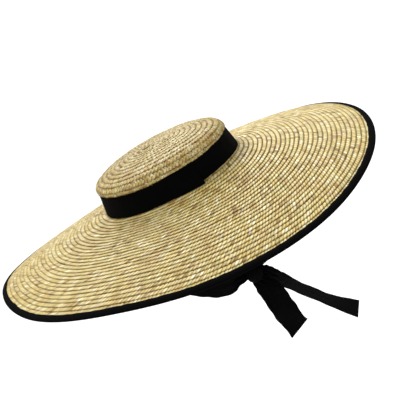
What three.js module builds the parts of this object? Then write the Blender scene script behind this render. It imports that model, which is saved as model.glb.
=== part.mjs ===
// A wide straw sun hat with a low oval crown, a black ribbon band, a bound edge
// and two ribbon ties that meet in a bow below the wearer's right cheek.
// Millimetres. X points to the wearer's left, Y to the back, Z up the crown.
// The origin is the middle of the opening that the head goes into.
// Angles round the hat start at the front and turn towards the wearer's left.

import * as THREE from 'three';

// Head opening and crown
const OPENING_HALF_WIDTH = 88;
const OPENING_HALF_LENGTH = 98;
const STRAW = 1.8;
const WALL_HEIGHT = 30.5;
const WALL_TAPER = 4.8;
const TOP_INSET = 15;

// The crown's line from the middle of its top down to its foot. Fuller is how
// much higher it stands on the wearer's right, the side that the lap is on.
const CROWN_LINE = [
  { inset: OPENING_HALF_WIDTH, height: 52.5, fuller: 0 },
  { inset: 70, height: 52, fuller: 1.3 },
  { inset: 54, height: 50.4, fuller: 3 },
  { inset: 42, height: 48.3, fuller: 4.6 },
  { inset: 32, height: 46, fuller: 5.8 },
  { inset: 23, height: 43.5, fuller: 6.3 },
  { inset: TOP_INSET, height: 41.3, fuller: 6 },
  { inset: 9, height: 38.5, fuller: 4.5 },
  { inset: 5.8, height: 34.5, fuller: 2 },
  { inset: WALL_TAPER, height: WALL_HEIGHT, fuller: 0 },
  { inset: 0, height: 0, fuller: 0 },
];

// Brim: a disc of straw whose edge rises and falls round the hat
const BRIM_RADIUS = 266;
const BRIM_WIDTH = BRIM_RADIUS - OPENING_HALF_WIDTH;
const BRIM_TURN_DOWN = 11;
const BRIM_SECTIONS = [
  { at: 0, edge: -47, bulge: 2 },
  { at: 30, edge: -49, bulge: 4 },
  { at: 60, edge: -63, bulge: 4.5 },
  { at: 90, edge: -70, bulge: 3.5 },
  { at: 120, edge: -65, bulge: 1.5 },
  { at: 150, edge: -42, bulge: 1 },
  { at: 180, edge: -24, bulge: 3 },
  { at: 210, edge: -28, bulge: 6 },
  { at: 240, edge: -33, bulge: 8 },
  { at: 270, edge: -50, bulge: 7 },
  { at: 300, edge: -58.5, bulge: 4 },
  { at: 330, edge: -54, bulge: 2 },
];

// Ribbon
const RIBBON = 1;
const RIBBON_WIDTH = 32;
const BAND_FOOT = 0.5;
const BAND_TOP = 31;
const LAP_START = 272;
const LAP_END = 290;
const LAP_FLARE = 3;
const BINDING_WIDTH = 8.5;
const BINDING_EDGE = 1.3;
const BINDING_ROUND = 1.6;
const BINDING_FACE = 2.2;

// Room between pieces that touch
const GAP = 0.3;

// Bow: the knot and what leaves it
const KNOT = { x: -40, y: -35, z: -159 };
const KNOT_HALF = { x: 9, y: 12.5, z: 12 };
const LAYER_ROOM = 1.2;

// A strip's rows: the middle of the ribbon, its width there, and how the width
// lies. Lean tips it out of level in the YZ plane, turn swings it towards X.
const TIE_SIDE = 80.2;
const TIE_ROWS_NEAR = [
  { x: -TIE_SIDE, y: 0, z: 22, width: RIBBON_WIDTH, lean: 0, turn: 0 },
  { x: -83.4, y: 0, z: -3, width: RIBBON_WIDTH, lean: -4, turn: 0 },
  { x: -81, y: -7, z: -42, width: RIBBON_WIDTH, lean: -11, turn: 0 },
  { x: -72, y: -17, z: -86, width: 31, lean: -14, turn: 0 },
  { x: -58, y: -28, z: -122, width: 24, lean: -18, turn: 0 },
  { x: -43.5, y: -34, z: -146.6, width: 13, lean: -8, turn: 0 },
];
const TIE_ROWS_FAR = [
  { x: TIE_SIDE, y: 0, z: 22, width: RIBBON_WIDTH, lean: 0, turn: 0 },
  { x: 83.4, y: 0, z: -3, width: RIBBON_WIDTH, lean: -4, turn: 0 },
  { x: 80, y: -8, z: -42, width: RIBBON_WIDTH, lean: -11, turn: 0 },
  { x: 70, y: -18, z: -86, width: RIBBON_WIDTH, lean: -13, turn: 0 },
  { x: 49, y: -28, z: -128, width: RIBBON_WIDTH, lean: -10, turn: 0 },
  { x: 17, y: -35, z: -156, width: 31, lean: -5, turn: 0 },
  { x: -12, y: -36.5, z: -162, width: 24, lean: 0, turn: 0 },
  { x: -30.6, y: -35, z: -160, width: 13, lean: 0, turn: 0 },
];
const TAIL_ROWS_NEAR = [
  { x: -42, y: -35, z: -171, width: 15, lean: 0, turn: 0 },
  { x: -46, y: -41.5, z: -181, width: 27, lean: -4, turn: 0 },
  { x: -49, y: -44, z: -195, width: 31, lean: -6, turn: 4 },
  { x: -51, y: -46, z: -216, width: RIBBON_WIDTH, lean: -8, turn: -6 },
  { x: -49, y: -50, z: -239, width: RIBBON_WIDTH, lean: -9, turn: 5 },
  { x: -48, y: -53.5, z: -258, width: RIBBON_WIDTH, lean: -9, turn: 0 },
];
const TAIL_ROWS_FRONT = [
  { x: -37, y: -47.6, z: -162, width: 12, lean: -75, turn: 8 },
  { x: -36, y: -52.5, z: -169, width: 19, lean: -58, turn: 22 },
  { x: -34, y: -57, z: -180, width: 26, lean: -40, turn: 40 },
  { x: -33, y: -66, z: -194, width: 31, lean: -33, turn: 50 },
  { x: -31, y: -84, z: -222, width: RIBBON_WIDTH, lean: -38, turn: 52 },
  { x: -31, y: -107, z: -252.5, width: RIBBON_WIDTH, lean: -43, turn: 50 },
  { x: -33, y: -134, z: -282, width: RIBBON_WIDTH, lean: -44, turn: 40 },
];
const TAIL_CUT_NEAR = 4.6;
const TAIL_CUT_FRONT = 7;

// A cut's slant grows with this power of the way along the strip. A strip's run
// is measured this share of it to both sides.
const CUT_LATE = 6;
const STEP_ASIDE = 0.004;

// A loop's rows run from the knot to its far end, and puff is how far each
// layer stands out from the middle there.
const LOOP_ROWS_BACK = [
  { y: -22.3, z: -155, width: 12, lean: 92, puff: LAYER_ROOM },
  { y: -10, z: -151, width: 22, lean: 100, puff: 5 },
  { y: 2, z: -150.5, width: 30, lean: 112, puff: 9 },
  { y: 17, z: -143, width: RIBBON_WIDTH, lean: 121, puff: 12 },
  { y: 34, z: -133, width: RIBBON_WIDTH, lean: 122, puff: 12 },
  { y: 47, z: -124, width: RIBBON_WIDTH, lean: 123, puff: 7 },
  { y: 51, z: -121, width: RIBBON_WIDTH, lean: 123, puff: 0 },
];
const LOOP_ROWS_FRONT = [
  { y: -44.6, z: -150.8, width: 11, lean: 46, puff: LAYER_ROOM },
  { y: -55, z: -141.5, width: 21, lean: 50, puff: 5 },
  { y: -68, z: -131, width: 29, lean: 53, puff: 10 },
  { y: -84, z: -119, width: RIBBON_WIDTH, lean: 53, puff: 13 },
  { y: -99, z: -108, width: RIBBON_WIDTH, lean: 54, puff: 10 },
  { y: -107, z: -102, width: RIBBON_WIDTH, lean: 54, puff: 6 },
  { y: -110, z: -99.5, width: RIBBON_WIDTH, lean: 54, puff: 0 },
];

// How finely the shapes are stepped
const ROUND_STEPS_BRIM = 96;
const ROUND_STEPS_CROWN = 72;
const BRIM_STEPS = 7;
const TIE_STEPS = 26;
const TAIL_STEPS = 18;
const LOOP_STEPS = 34;
const WIDTH_STEPS = 3;

const radians = THREE.MathUtils.degToRad;
const mix = THREE.MathUtils.lerp;

const straw = new THREE.MeshStandardMaterial({ color: 0xdcc488, roughness: 0.7, metalness: 0 });
const blackRibbon = new THREE.MeshStandardMaterial({ color: 0x101014, roughness: 0.8, metalness: 0 });
const blackBinding = new THREE.MeshStandardMaterial({ color: 0x121217, roughness: 0.8, metalness: 0 });

// A smooth curve's value between b and c, with a and d on either side of them.
function between(a, b, c, d, share) {
  const slopeB = (c - a) / 2;
  const slopeC = (d - b) / 2;
  const bend = 3 * (c - b) - 2 * slopeB - slopeC;
  const twist = slopeB + slopeC - 2 * (c - b);
  return b + share * (slopeB + share * (bend + share * twist));
}

// One column of the brim's sections at any angle in degrees.
function brimColumn(column, degrees) {
  const count = BRIM_SECTIONS.length;
  const place = (degrees / 360) * count;
  const first = Math.floor(place);
  const value = (step) => BRIM_SECTIONS[(first + step + count) % count][column];
  return between(value(-1), value(0), value(1), value(2), place - first);
}

// The point of the brim's upper face at a share of the way from the crown to the edge.
function brimPoint(degrees, share, height) {
  const angle = radians(degrees);
  const width = mix(OPENING_HALF_WIDTH, BRIM_RADIUS, share);
  const length = mix(OPENING_HALF_LENGTH, BRIM_RADIUS, share);
  const bow = 4 * brimColumn('bulge', degrees) + BRIM_TURN_DOWN * (2 * share - 1);
  const fall = brimColumn('edge', degrees) * share + bow * share * (1 - share);
  return new THREE.Vector3(width * Math.sin(angle), -length * Math.cos(angle), fall + height);
}

// How far the crown's wall has leaned in at a height.
function wallInset(height) {
  return (WALL_TAPER * Math.max(height, 0)) / WALL_HEIGHT;
}

// A point of the crown. Beyond the top's rim the oval shrinks evenly to its middle.
function crownPoint(degrees, inset, height, fuller) {
  const angle = radians(degrees);
  const shrink = Math.min((OPENING_HALF_WIDTH - inset) / (OPENING_HALF_WIDTH - TOP_INSET), 1);
  const rim = Math.min(inset, TOP_INSET);
  const width = (OPENING_HALF_WIDTH - rim) * Math.max(shrink, 0);
  const length = (OPENING_HALF_LENGTH - rim) * Math.max(shrink, 0);
  const right = Math.max(-Math.sin(angle), 0);
  return new THREE.Vector3(
    width * Math.sin(angle),
    -length * Math.cos(angle),
    height + fuller * right * right,
  );
}

// A mesh whose faces all point out, whichever way its shape was bent.
function solid(name, geometry, material) {
  const corner = geometry.attributes.position;
  const index = geometry.index;
  const [a, b, c] = [new THREE.Vector3(), new THREE.Vector3(), new THREE.Vector3()];
  let volume = 0;
  for (let i = 0; i < index.count; i += 3) {
    a.fromBufferAttribute(corner, index.getX(i));
    b.fromBufferAttribute(corner, index.getX(i + 1));
    c.fromBufferAttribute(corner, index.getX(i + 2));
    volume += a.dot(b.cross(c));
  }
  if (volume < 0) {
    index.array.reverse();
  }
  geometry.deleteAttribute('normal');
  geometry.deleteAttribute('uv');
  const mesh = new THREE.Mesh(geometry, material);
  mesh.name = name;
  return mesh;
}

// Turns an outline of rows round the hat. Each row of the lathe is put where place says.
function ring(name, outline, steps, place, material) {
  const rows = outline.map(() => new THREE.Vector2(1, 0));
  const geometry = new THREE.LatheGeometry(rows, steps);
  const corner = geometry.attributes.position;
  for (let step = 0; step <= steps; step += 1) {
    const degrees = step < steps ? (step * 360) / steps : 0;
    outline.forEach((row, i) => {
      const point = place(degrees, row);
      corner.setXYZ(step * outline.length + i, point.x, point.y, point.z);
    });
  }
  return solid(name, geometry, material);
}

// The crown's line at a depth under its outer face.
function crownLine(depth) {
  const last = CROWN_LINE.length - 1;
  const rows = CROWN_LINE.map((row, i) => {
    const before = CROWN_LINE[Math.max(i - 1, 0)];
    const after = CROWN_LINE[Math.min(i + 1, last)];
    const out = before.inset - after.inset;
    const fall = before.height - after.height;
    const reach = Math.hypot(out, fall);
    const inset = row.inset + (depth * fall) / reach;
    return { inset, height: row.height - (depth * out) / reach, fuller: row.fuller };
  });
  rows[0].inset = OPENING_HALF_WIDTH;
  rows.push({ inset: depth, height: -STRAW, fuller: 0 });
  return rows;
}

// The crown: top and wall in one shell, open below.
function crown() {
  const outline = [...crownLine(0), ...crownLine(STRAW).reverse()];
  const place = (degrees, row) => crownPoint(degrees, row.inset, row.height, row.fuller);
  return ring('crown', outline, ROUND_STEPS_CROWN, place, straw);
}

// The brim: a shell from the foot of the crown to inside the bound edge.
function brim() {
  const start = GAP / BRIM_WIDTH;
  const end = 1 - BINDING_EDGE / BRIM_WIDTH;
  const steps = Array.from({ length: BRIM_STEPS + 1 }, (unused, i) => i / BRIM_STEPS);
  const shares = steps.map((step) => mix(start, end, step));
  const above = shares.map((share) => ({ share, height: 0 }));
  const below = shares.map((share) => ({ share, height: -STRAW }));
  const outline = [...above, ...below.reverse(), above[0]];
  const place = (degrees, row) => brimPoint(degrees, row.share, row.height);
  return ring('brim', outline, ROUND_STEPS_BRIM, place, straw);
}

// The binding: a ribbon folded over the brim's edge.
function brimBinding() {
  const top = GAP + RIBBON;
  const bottom = -STRAW - GAP - RIBBON;
  const middle = (top + bottom) / 2;
  const outline = [
    { inset: BINDING_WIDTH, height: top },
    { inset: BINDING_ROUND, height: top },
    { inset: GAP, height: middle + BINDING_FACE / 2 },
    { inset: GAP, height: middle - BINDING_FACE / 2 },
    { inset: BINDING_ROUND, height: bottom },
    { inset: BINDING_WIDTH, height: bottom },
    { inset: BINDING_WIDTH, height: bottom + RIBBON },
    { inset: BINDING_EDGE - GAP, height: bottom + RIBBON },
    { inset: BINDING_EDGE - GAP, height: top - RIBBON },
    { inset: BINDING_WIDTH, height: top - RIBBON },
  ];
  outline.push(outline[0]);
  const place = (degrees, row) => {
    const share = 1 - row.inset / BRIM_WIDTH;
    return brimPoint(degrees, share, row.height);
  };
  return ring('brim_binding', outline, ROUND_STEPS_BRIM, place, blackBinding);
}

// A point beside the crown's wall, off from it and leaning in with it.
function wallPoint(degrees, height, off) {
  return crownPoint(degrees, wallInset(height) - off, height, 0);
}

// The band: a ribbon round the foot of the crown.
function hatBand() {
  const outline = [
    { height: BAND_FOOT, off: GAP },
    { height: BAND_TOP, off: GAP },
    { height: BAND_TOP, off: GAP + RIBBON },
    { height: BAND_FOOT, off: GAP + RIBBON },
  ];
  outline.push(outline[0]);
  const place = (degrees, row) => wallPoint(degrees, row.height, row.off);
  return ring('hat_band', outline, ROUND_STEPS_CROWN, place, blackRibbon);
}

// The band's end, lapped over it at the wearer's right, with its foot standing off a little.
function bandLap() {
  const steps = Math.round(((LAP_END - LAP_START) / 360) * ROUND_STEPS_CROWN);
  const geometry = new THREE.BoxGeometry(1, 1, 1, steps, 1, 4);
  geometry.translate(0.5, 0.5, 0.5);
  const corner = geometry.attributes.position;
  for (let i = 0; i < corner.count; i += 1) {
    const degrees = mix(LAP_START, LAP_END, corner.getX(i));
    const height = mix(BAND_FOOT, BAND_TOP, corner.getZ(i));
    const flare = LAP_FLARE * (1 - corner.getZ(i)) ** 2;
    const off = 2 * GAP + RIBBON * (1 + corner.getY(i)) + flare;
    const point = wallPoint(degrees, height, off);
    corner.setXYZ(i, point.x, point.y, point.z);
  }
  return solid('band_lap', geometry, blackRibbon);
}

// Every column of a strip's rows at a share of its length.
function rowAt(rows, share) {
  const place = share * (rows.length - 1);
  const first = Math.min(Math.floor(place), rows.length - 2);
  const row = (step) => rows[THREE.MathUtils.clamp(first + step, 0, rows.length - 1)];
  const values = {};
  for (const column of Object.keys(rows[0])) {
    values[column] = between(row(-1)[column], row(0)[column], row(1)[column], row(2)[column], place - first);
  }
  return values;
}

// A ribbon laid along its rows. Cut slants its far end.
function strip(name, rows, steps, cut = 0) {
  const geometry = new THREE.BoxGeometry(1, 2, RIBBON, steps, WIDTH_STEPS, 1);
  geometry.translate(0.5, 0, 0);
  const corner = geometry.attributes.position;
  for (let i = 0; i < corner.count; i += 1) {
    const along = corner.getX(i);
    const across = corner.getY(i);
    const off = corner.getZ(i);
    const row = rowAt(rows, along);
    const ahead = rowAt(rows, Math.min(along + STEP_ASIDE, 1));
    const behind = rowAt(rows, Math.max(along - STEP_ASIDE, 0));
    const run = new THREE.Vector3(ahead.x - behind.x, ahead.y - behind.y, ahead.z - behind.z);
    run.normalize();
    const [lean, turn] = [radians(row.lean), radians(row.turn)];
    const level = Math.cos(turn);
    const breadth = new THREE.Vector3(Math.sin(turn), level * Math.cos(lean), level * Math.sin(lean));
    const face = new THREE.Vector3().crossVectors(run, breadth).normalize();
    const point = new THREE.Vector3(row.x, row.y, row.z);
    point.addScaledVector(breadth, (across * row.width) / 2);
    point.addScaledVector(face, off);
    point.addScaledVector(run, cut * across * along ** CUT_LATE);
    corner.setXYZ(i, point.x, point.y, point.z);
  }
  return solid(name, geometry, blackRibbon);
}

// A loop's strip: out along the layer in front, round the end, back along the other.
function bowLoop(name, rows) {
  const layer = (side) => (row) => ({
    x: KNOT.x - side * row.puff,
    y: row.y,
    z: row.z,
    width: row.width,
    lean: row.lean,
    turn: 0,
  });
  const out = rows.map(layer(1));
  const home = rows.slice(0, -1).reverse().map(layer(-1));
  return strip(name, [...out, ...home], LOOP_STEPS);
}

function bowKnot() {
  const geometry = new THREE.SphereGeometry(1, 16, 10);
  geometry.scale(KNOT_HALF.x, KNOT_HALF.y, KNOT_HALF.z);
  const knot = solid('bow_knot', geometry, blackRibbon);
  knot.position.set(KNOT.x, KNOT.y, KNOT.z);
  return knot;
}

const hat = new THREE.Group();
hat.add(crown());
hat.add(brim());
hat.add(brimBinding());
hat.add(hatBand());
hat.add(bandLap());
hat.add(strip('tie_near', TIE_ROWS_NEAR, TIE_STEPS));
hat.add(strip('tie_far', TIE_ROWS_FAR, TIE_STEPS));
hat.add(bowKnot());
hat.add(bowLoop('bow_loop_back', LOOP_ROWS_BACK));
hat.add(bowLoop('bow_loop_front', LOOP_ROWS_FRONT));
hat.add(strip('bow_tail_near', TAIL_ROWS_NEAR, TAIL_STEPS, TAIL_CUT_NEAR));
hat.add(strip('bow_tail_front', TAIL_ROWS_FRONT, TAIL_STEPS, TAIL_CUT_FRONT));

export default hat;
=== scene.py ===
"""A wide straw sun hat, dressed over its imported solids.

The hat is one long plait of split wheat straw, sewn round and round from the crown to the edge. Black
grosgrain ribbon makes its band, the binding of its edge and the ties, which meet in a bow. Sizes are in
millimetres, as in the part's source, and turn to metres when a mesh is made. Angles round the hat start at
the front and turn towards the wearer's left.
"""

import logging
import math
from collections.abc import Callable, Sequence
from dataclasses import dataclass
from enum import Enum

import bmesh
import bpy
import numpy as np
from mathutils import Matrix, Vector


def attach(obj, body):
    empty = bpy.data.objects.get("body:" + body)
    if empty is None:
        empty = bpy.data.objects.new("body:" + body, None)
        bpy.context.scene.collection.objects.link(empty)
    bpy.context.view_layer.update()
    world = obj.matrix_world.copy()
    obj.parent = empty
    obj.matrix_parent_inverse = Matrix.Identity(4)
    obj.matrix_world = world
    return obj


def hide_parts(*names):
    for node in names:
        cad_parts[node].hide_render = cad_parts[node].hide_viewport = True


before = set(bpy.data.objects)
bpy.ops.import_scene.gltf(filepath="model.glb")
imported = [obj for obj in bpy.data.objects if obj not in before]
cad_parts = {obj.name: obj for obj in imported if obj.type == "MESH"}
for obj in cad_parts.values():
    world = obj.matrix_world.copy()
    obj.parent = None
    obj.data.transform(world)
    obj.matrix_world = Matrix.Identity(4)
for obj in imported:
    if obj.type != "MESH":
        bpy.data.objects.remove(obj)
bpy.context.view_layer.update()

MM = 0.001
TURN = 360.0
SEED = 11
CHANCES = 16384
SMOOTH = {"interpolation_type": "SMOOTHSTEP"}
LOG = logging.getLogger("straw_hat")

Place = Callable[[np.ndarray, np.ndarray], np.ndarray]
Signal = bpy.types.Node | bpy.types.NodeSocket


class Slot(Enum):
    """The record's material slots."""

    STRAW = "straw"
    BAND = "band"
    BINDING = "binding"
    RIBBON = "ribbon"


class Held(Enum):
    """How a sheet of ribbon is held on the hat."""

    GATHERED = "gathered"
    STRETCHED = "stretched"
    FOLDED = "folded"
    LAID = "laid"


def linear(code: str) -> tuple[float, float, float, float]:
    """Turns an sRGB hex colour to linear.

    Args:
        code: the colour, such as "#e2cf98".

    Returns:
        Red, green and blue in linear light, and an alpha of 1.
    """
    shares = [int(code[i : i + 2], 16) / 255 for i in (1, 3, 5)]
    bright = [c / 12.92 if c <= 0.04045 else ((c + 0.055) / 1.055) ** 2.4 for c in shares]
    return (*bright, 1.0)


def add_node(
    tree: bpy.types.NodeTree, kind: str, inputs: dict | tuple = (), **settings: object
) -> bpy.types.Node:
    """Adds a node with its settings and its inputs.

    Args:
        tree: the material's node tree.
        kind: the shader node's type, such as "Math".
        inputs: what its inputs get, by name or in their order: a node or socket to link, or a value.
        **settings: the node's own properties.

    Returns:
        The new node.
    """
    node = tree.nodes.new("ShaderNode" + kind)
    for key, value in settings.items():
        setattr(node, key, value)
    for key, value in inputs.items() if isinstance(inputs, dict) else enumerate(inputs):
        if isinstance(value, bpy.types.Node):
            value = next(socket for socket in value.outputs if socket.enabled)
        if isinstance(value, bpy.types.NodeSocket):
            tree.links.new(value, node.inputs[key])
        else:
            node.inputs[key].default_value = value
    return node


def bare_material(name: str) -> bpy.types.Material:
    """Makes a material without any nodes.

    Args:
        name: the material's name.

    Returns:
        The material.
    """
    made = bpy.data.materials.new(name)
    made.use_nodes = True
    made.node_tree.nodes.clear()
    return made


def in_scene(name: str, data: bpy.types.ID) -> bpy.types.Object:
    """Makes an object and links it to the scene.

    Args:
        name: the object's name.
        data: its mesh, lamp or camera.

    Returns:
        The object.
    """
    made = bpy.data.objects.new(name, data)
    bpy.context.collection.objects.link(made)
    return made


def as_mesh(name: str, bm: bmesh.types.BMesh) -> bpy.types.Mesh:
    """Makes a mesh of a bmesh, which it frees.

    Args:
        name: the mesh's name.
        bm: the bmesh.

    Returns:
        The mesh.
    """
    mesh = bpy.data.meshes.new(name)
    bm.to_mesh(mesh)
    bm.free()
    return mesh


def smooth_value(values: Sequence[float], spot: np.ndarray, closed: bool) -> np.ndarray:
    """Reads a table along the smooth curve through its values.

    Args:
        values: the table.
        spot: places in it, where 1.5 is halfway from its second value to the third.
        closed: whether the first value follows the last.

    Returns:
        The value at each place.
    """
    table = np.array(values, dtype=float)
    first = np.floor(spot).astype(int)
    near = [first + step for step in (-1, 0, 1, 2)]
    kept = [place % len(table) if closed else np.clip(place, 0, len(table) - 1) for place in near]
    a, b, c, d = [table[place] for place in kept]
    share = spot - first
    slope_b = (c - a) / 2
    slope_c = (d - b) / 2
    bend = 3 * (c - b) - 2 * slope_b - slope_c
    twist = slope_b + slope_c - 2 * (c - b)
    return b + share * (slope_b + share * (bend + share * twist))


def unit(vectors: np.ndarray) -> np.ndarray:
    """Gives each row of vectors a length of 1."""
    length = np.linalg.norm(vectors, axis=-1, keepdims=True)
    return vectors / np.maximum(length, 1e-9)


def slow_wave(where: np.ndarray, lengths: tuple[float, ...], seed: int) -> np.ndarray:
    """Adds sine waves of several lengths with seeded starts.

    Args:
        where: positions along, in millimetres or degrees.
        lengths: the waves' lengths, in the same unit.
        seed: picks the starts.

    Returns:
        Values that stay between -1 and 1.
    """
    starts = np.random.default_rng(seed).uniform(0, math.tau, len(lengths))
    waves = [np.sin(math.tau * where / length + start) for length, start in zip(lengths, starts)]
    return sum(waves) / len(lengths)


@dataclass(frozen=True)
class Outline:
    """The closed outline of a flat strip, corner by corner.

    Each corner has how far across it is, from -1 to 1, and how far up, where 1 is half the thickness. The
    rim is the share of the half width that each edge takes in the UV map.
    """

    across: tuple[float, ...]
    up: tuple[float, ...]
    rim: float = 0.002

    def corners(self) -> int:
        """The number of corners."""
        return len(self.across)

    def at(self, share: np.ndarray) -> tuple[np.ndarray, np.ndarray]:
        """Across and up for shares of the way round."""
        corner = np.rint(share * self.corners()).astype(int) % self.corners()
        return np.array(self.across)[corner], np.array(self.up)[corner]

    def unrolled(self, share: np.ndarray, width: float) -> np.ndarray:
        """Measures the way round the outline.

        Args:
            share: shares of the way round.
            width: the strip's width, in millimetres.

        Returns:
            Millimetres from the first corner.
        """
        across = np.array([*self.across, self.across[0]])
        steps = np.maximum(np.abs(np.diff(across)), self.rim)
        run = np.concatenate([[0.0], np.cumsum(steps)]) * width / 2
        return np.interp(share * self.corners(), np.arange(len(run)), run)


def flat_outline(places: int) -> Outline:
    """Makes the outline of a ribbon with rounded selvedges.

    Args:
        places: how many corners each face has between the selvedges.

    Returns:
        The outline, over the upper face and back along the lower one.
    """
    inner = np.linspace(-0.97, 0.97, places)
    across = (-1.0, *inner, 1.0, *inner[::-1])
    up = (0.0, *np.ones(places), 0.0, *-np.ones(places))
    return Outline(tuple(across), tuple(up))


def rewrite(points: bpy.types.bpy_prop_collection, key: str, size: int, change: Place) -> None:
    """Changes all of a mesh's vertices or UV points at once.

    Args:
        points: the vertices or UV points.
        key: the property that holds a point's place.
        size: how many numbers a place has.
        change: takes the first two numbers of every place, and gives the new places.
    """
    flat = np.empty(len(points) * size, dtype=np.float32)
    points.foreach_get(key, flat)
    old = flat.reshape(-1, size).astype(float)
    points.foreach_set(key, change(old[:, 0], old[:, 1]).astype(np.float32).ravel())


def bent_grid(name: str, steps: tuple[int, int], place: Place, unroll: Place) -> bpy.types.Object:
    """Makes a piece from a grid of faces that is bent into place and welded where its edges meet.

    Args:
        name: the piece's name.
        steps: how many faces the grid has along and across.
        place: takes shares along and across, and gives points in millimetres.
        unroll: takes the same shares, and gives the flat place in millimetres for the UV map.

    Returns:
        The piece, linked to the scene.
    """
    mesh = bpy.data.meshes.new(name)
    bm = bmesh.new()
    bm.loops.layers.uv.new("flat")
    bmesh.ops.create_grid(bm, x_segments=steps[0], y_segments=steps[1], size=0.5, calc_uvs=True)
    bm.to_mesh(mesh)
    rewrite(mesh.vertices, "co", 3, lambda x, y: place(x + 0.5, y + 0.5) * MM)
    rewrite(mesh.uv_layers["flat"].uv, "vector", 2, unroll)
    bm.clear()
    bm.from_mesh(mesh)
    bmesh.ops.remove_doubles(bm, verts=bm.verts[:], dist=1e-6)
    open_edges = [edge for edge in bm.edges if edge.is_boundary]
    if open_edges:
        bmesh.ops.holes_fill(bm, edges=open_edges, sides=0)
    bmesh.ops.recalc_face_normals(bm, faces=bm.faces[:])
    bm.to_mesh(mesh)
    bm.free()
    mesh.shade_smooth()
    return in_scene(name, mesh)


def dress(piece: bpy.types.Object, finish: bpy.types.Material, nodes: tuple[str, ...]) -> None:
    """Gives a piece its finish and its place in the frame.

    Args:
        piece: the piece.
        finish: its material.
        nodes: the CAD nodes that the piece replaces.
    """
    piece.data.materials.append(finish)
    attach(piece, "root")
    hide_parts(*nodes)
    LOG.info("%s: %d faces", piece.name, len(piece.data.polygons))


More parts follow.
